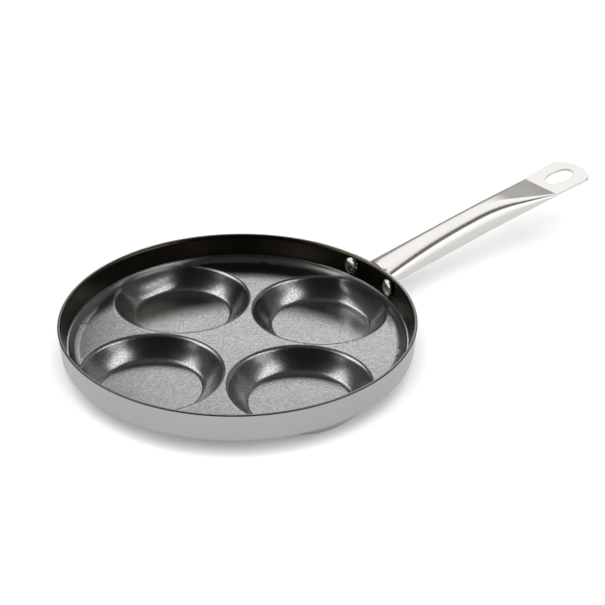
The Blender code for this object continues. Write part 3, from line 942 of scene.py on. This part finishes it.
def finishShader(tree, shader, look, colour, height):
    tree.links.new(colour, shader.inputs["Base Color"])
    strength, depth = look["relief"]
    values = {"Height": height, "Strength": strength, "Distance": depth}
    tree.links.new(addNode(tree, "ShaderNodeBump", values).outputs[0], shader.inputs["Normal"])


def coatingMaterial():
    material, tree, shader = newMaterial("sprayed non-stick coating")
    look = coatingLook
    plain = marked(tree, shader, look)
    speckle = useGroup(tree, sprayedSpeckle, {"Vector": plain, "Scale": look["speckle"]})
    colour = blendColours(tree, speckle.outputs["Flakes"], look["base"], look["flake"])
    height = fromAxis(tree, plain)[1]
    foot = PanFace(inner=True).foot
    ledgeTop = floorTop + climb(arcsRun(foot[:3]), foot, 0.0)
    # Painted reflection: the fillet below the ledge is coloured darker for the dark side wall it mirrors.
    aboveFloor = between(tree, height, floorTop + 0.00001, floorTop + 0.00008)
    belowLedge = between(tree, height, ledgeTop - 0.0004, ledgeTop - 0.0002, 1.0, 0.0)
    filletShadeMask = maths(tree, "MULTIPLY", aboveFloor, belowLedge)
    colour = blendColours(tree, filletShadeMask, colour, look["fillet"])
    # Painted shade: the same coating is coloured nearly black on the side wall above the ledge.
    wallShadeMask = between(tree, height, ledgeTop + 0.0001, ledgeTop + 0.0005)
    colour = blendColours(tree, wallShadeMask, colour, look["wall"])
    finishShader(tree, shader, look, colour, speckle.outputs["Height"])
    return material


def aluminiumMaterial():
    material, tree, shader = newMaterial("satin aluminium")
    look = aluminiumLook
    plain = marked(tree, shader, look)
    rings = stretched(tree, (1, 1, 24))
    grain = useGroup(tree, brushedGrain, {"Vector": rings, "Fine": look["grain"]}).outputs["Grain"]
    colour = blendColours(tree, grain, look["dull"], look["base"])
    radius, height = fromAxis(tree, plain)
    onBand = between(tree, height, rimTop - 0.00012, rimTop - 0.00004)
    colour = blendColours(tree, onBand, colour, look["rimBand"])
    edge, shoulder = panSizes["rimRadius"], panSizes["rimShoulder"]
    outside = between(tree, radius, edge - shoulder * 0.95, edge - shoulder * 0.75)
    upper = between(tree, height, rimTop - shoulder * 1.1, rimTop - shoulder * 0.85)
    colour = blendColours(tree, maths(tree, "MULTIPLY", outside, upper), colour, look["rimLine"])
    finishShader(tree, shader, look, colour, grain)
    return material


def steelMaterial(name, lengthwise):  # brushed along the handle, or with a fine even grain
    material, tree, shader = newMaterial(name)
    look = steelLook
    marked(tree, shader, look)
    lines = stretched(tree, lengthwise, (0, handleSizes["rise"], 0))
    grain = useGroup(tree, brushedGrain, {"Vector": lines, "Fine": look["grain"]}).outputs["Grain"]
    finishShader(tree, shader, look, blendColours(tree, grain, look["dull"], look["base"]), grain)
    return material


def rivetMaterial():
    material, tree, shader = newMaterial("polished rivet")
    marked(tree, shader, rivetLook)
    shader.inputs["Base Color"].default_value = rivetLook["base"]
    return material


coating = buildCoating(coatingMaterial())
shell = buildShell(aluminiumMaterial())
print("pan built")
handle = buildHandle(steelMaterial("brushed steel", (2.5, 90, 90)))
print("handle built")
bracket = buildBracket(steelMaterial("bracket steel", (60, 60, 60)))
print("bracket built")
rivets = buildRivets(rivetMaterial())
print("rivets built")

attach(coating, "root")
carry(shell, "aluminium", "pan_body")
carry(handle, "brushed_steel", "handle_tube")
carry(bracket, "bracket_steel", "handle_bracket")
carry(rivets, "rivet_metal", "rivet_left", "rivet_right")


# Floor, light and camera

cameraLook = {
    "place": (-0.64562682, -0.78356451, 0.5913398),
    "target": (-0.05989547, -0.01282881, 0.0366),
    "roll": radians(0.45685501),
    "lens": 90.2098,
}

studioLook = {
    "floorSize": 6.0,
    "floor": 0.80,
    "floorInMetal": 0.62,  # its colour in reflections
    "floorGlow": 0.15,
    "lamp": 48.0,  # watts, for the floor; it doesn't show in the metal
    "lampSize": 1.9,
    "lampPlace": (-1.3, 0.1, 2.0),  # behind the pan, to its right, up: it stands on the camera's side
    "dome": 0.75,  # plain light from all round, which only soft surfaces show
    "ceiling": 0.085,  # what metal shows away from the panels, behind the pan and above it
    "front": 0.015,  # and on the camera's side
    "panels": (
        # azimuth from straight behind, half width, elevation from and to, softness, strength
        (radians(-9), radians(20), radians(-10), radians(25), radians(5), 0.30),
        (radians(-69), radians(27), radians(36), radians(62), radians(7), 2.0),
        (radians(-112), radians(9), radians(19), radians(30), radians(3), 0.8),
        (radians(116), radians(14), radians(20), radians(35), radians(6), 1.15),
        (radians(42), radians(24), radians(0), radians(50), radians(14), 0.28),
    ),
}

lampLook = {
    # azimuth, elevation, half width and half height as seen from the middle, strength
    "pan": (radians(98), radians(50.5), radians(19), radians(9), 1.8),
    "pan floor": (radians(0.5), radians(31), radians(10), radians(5.4), 1.48),
    "rivet": (radians(-88), radians(8), radians(46), radians(26), 1.0),
    "handle": (radians(20), radians(58), radians(33), radians(34), 1.25),
    "handle side": (radians(112), radians(17), radians(22), radians(18), 1.3),
    "distance": 2.5,
    "panCentre": (panMiddle, 0, 0.02),  # what the lamps face
    "rivetCentre": (0, 0, 0.03),
    "handleCentre": (0.12, 0, 0.04),
}


def sightLine():
    return (Vector(cameraLook["target"]) - Vector(cameraLook["place"])).normalized()


def buildFloor():
    size = studioLook["floorSize"]
    mesh = bmesh.new()
    corners = ((-size, -size, 0), (size, -size, 0), (size, size, 0), (-size, size, 0))
    mesh.faces.new([mesh.verts.new(corner) for corner in corners])
    material, tree, shader = newMaterial("pale floor")
    tree.nodes.remove(shader)
    out = tree.nodes["Material Output"]
    path = addNode(tree, "ShaderNodeLightPath").outputs
    plain, mirrored = [(studioLook[key],) * 3 + (1,) for key in ("floor", "floorInMetal")]
    colour = blendColours(tree, path["Is Glossy Ray"], plain, mirrored)
    diffuse = addNode(tree, "ShaderNodeBsdfDiffuse", {"Color": colour})
    glow = addNode(tree, "ShaderNodeEmission", {"Color": (1, 1, 1, 1)})
    seen = maths(tree, "MAXIMUM", path["Is Camera Ray"], path["Is Glossy Ray"])
    seen = maths(tree, "MAXIMUM", seen, path["Is Transmission Ray"])
    tree.links.new(maths(tree, "MULTIPLY", seen, studioLook["floorGlow"]), glow.inputs["Strength"])
    both = addNode(tree, "ShaderNodeAddShader")
    tree.links.new(diffuse.outputs[0], both.inputs[0])
    tree.links.new(glow.outputs[0], both.inputs[1])
    tree.links.new(both.outputs[0], out.inputs["Surface"])
    floor = newPiece("floor", mesh, material)


def studioFrame():  # behind the pan and to its right, as the camera sees it
    back = sightLine()
    back.z = 0
    back.normalize()
    return back, Vector((back.y, -back.x, 0))


def facing(tree, way, direction):  # how far this way points in that direction
    values = {0: way, 1: direction}
    return addNode(tree, "ShaderNodeVectorMath", values, operation="DOT_PRODUCT").outputs["Value"]


def buildWorld():  # soft panels behind and on either side, and little light from above and in front
    world = bpy.data.worlds.new("studio")
    scene.world = world
    world.use_nodes = True
    tree = world.node_tree
    look = studioLook
    back, right = studioFrame()
    way = addNode(tree, "ShaderNodeTexCoord").outputs["Generated"]
    ahead, aside = facing(tree, way, back), facing(tree, way, right)
    up = addNode(tree, "ShaderNodeSeparateXYZ", {0: way}).outputs["Z"]
    azimuth = maths(tree, "ARCTAN2", aside, ahead)
    elevation = maths(tree, "ARCSINE", up)
    light = between(tree, ahead, -0.5, 0.1, look["front"], look["ceiling"])
    for place, half, bottom, top, edge, strength in look["panels"]:
        off = maths(tree, "ABSOLUTE", maths(tree, "SUBTRACT", azimuth, place))
        wide = between(tree, off, half - edge, half + edge, 1.0, 0.0)
        tall = maths(tree, "MULTIPLY", between(tree, elevation, bottom - edge, bottom + edge),
                     between(tree, elevation, top - edge, top + edge, 1.0, 0.0))
        panel = maths(tree, "MULTIPLY", maths(tree, "MULTIPLY", wide, tall), strength)
        light = maths(tree, "MAXIMUM", panel, light)
    path = addNode(tree, "ShaderNodeLightPath").outputs
    for share, level in ((path["Is Diffuse Ray"], look["dome"]), (path["Is Camera Ray"], 1.0)):
        light = addNode(tree, "ShaderNodeMix", {0: share, 2: light, 3: level}, data_type="FLOAT").outputs[0]
    background = tree.nodes["Background"]
    background.inputs["Color"].default_value = (1, 1, 1, 1)
    tree.links.new(light, background.inputs["Strength"])


def buildPanelLamp(name, centre, lit):  # a soft box that lights these pieces alone
    azimuth, elevation, halfWidth, halfHeight, strength = lampLook[name]
    distance = lampLook["distance"]
    back, right = studioFrame()
    level = back * cos(azimuth) + right * sin(azimuth)
    way = level * cos(elevation) + Vector((0, 0, sin(elevation)))
    lamp = bpy.data.objects.new(name + " light", bpy.data.lights.new(name + " light", "AREA"))
    lamp.data.shape = "RECTANGLE"
    lamp.data.size = 2 * distance * tan(halfWidth)
    lamp.data.size_y = 2 * distance * tan(halfHeight)
    lamp.data.energy = pi * lamp.data.size * lamp.data.size_y * strength
    lamp.location = Vector(lampLook[centre]) + way * distance
    lamp.rotation_euler = (-way).to_track_quat("-Z", "Y").to_euler()
    scene.collection.objects.link(lamp)
    pieces = bpy.data.collections.new("lit by the " + name + " light")
    for piece in lit:
        pieces.objects.link(piece)
    lamp.light_linking.receiver_collection = pieces


def buildLamp():
    look = studioLook
    back, right = studioFrame()
    behind, aside, up = look["lampPlace"]
    lamp = bpy.data.objects.new("floor lamp", bpy.data.lights.new("floor lamp", "AREA"))
    lamp.data.size = look["lampSize"]
    lamp.data.energy = look["lamp"]
    place = Vector((panMiddle, 0, 0)) + back * behind + right * aside + Vector((0, 0, up))
    lamp.location = place
    lamp.rotation_euler = (Vector((panMiddle, 0, 0)) - place).to_track_quat("-Z", "Y").to_euler()
    lamp.visible_glossy = False
    scene.collection.objects.link(lamp)


def buildCamera():
    camera = bpy.data.objects.new("camera", bpy.data.cameras.new("camera"))
    camera.data.sensor_width = 36
    camera.data.lens = cameraLook["lens"]
    camera.location = cameraLook["place"]
    look = sightLine().to_track_quat("-Z", "Y").to_matrix().to_4x4()
    camera.rotation_euler = (look @ Matrix.Rotation(cameraLook["roll"], 4, "Z")).to_euler()
    scene.collection.objects.link(camera)
    scene.camera = camera


buildFloor()
buildWorld()
buildPanelLamp("pan", "panCentre", (coating, shell))
buildPanelLamp("pan floor", "panCentre", (coating, shell))
buildPanelLamp("rivet", "rivetCentre", (rivets,))
buildPanelLamp("handle", "handleCentre", (handle, bracket))
buildPanelLamp("handle side", "handleCentre", (handle, bracket))
buildLamp()
buildCamera()
scene.view_settings.view_transform = "Standard"
print("studio built")
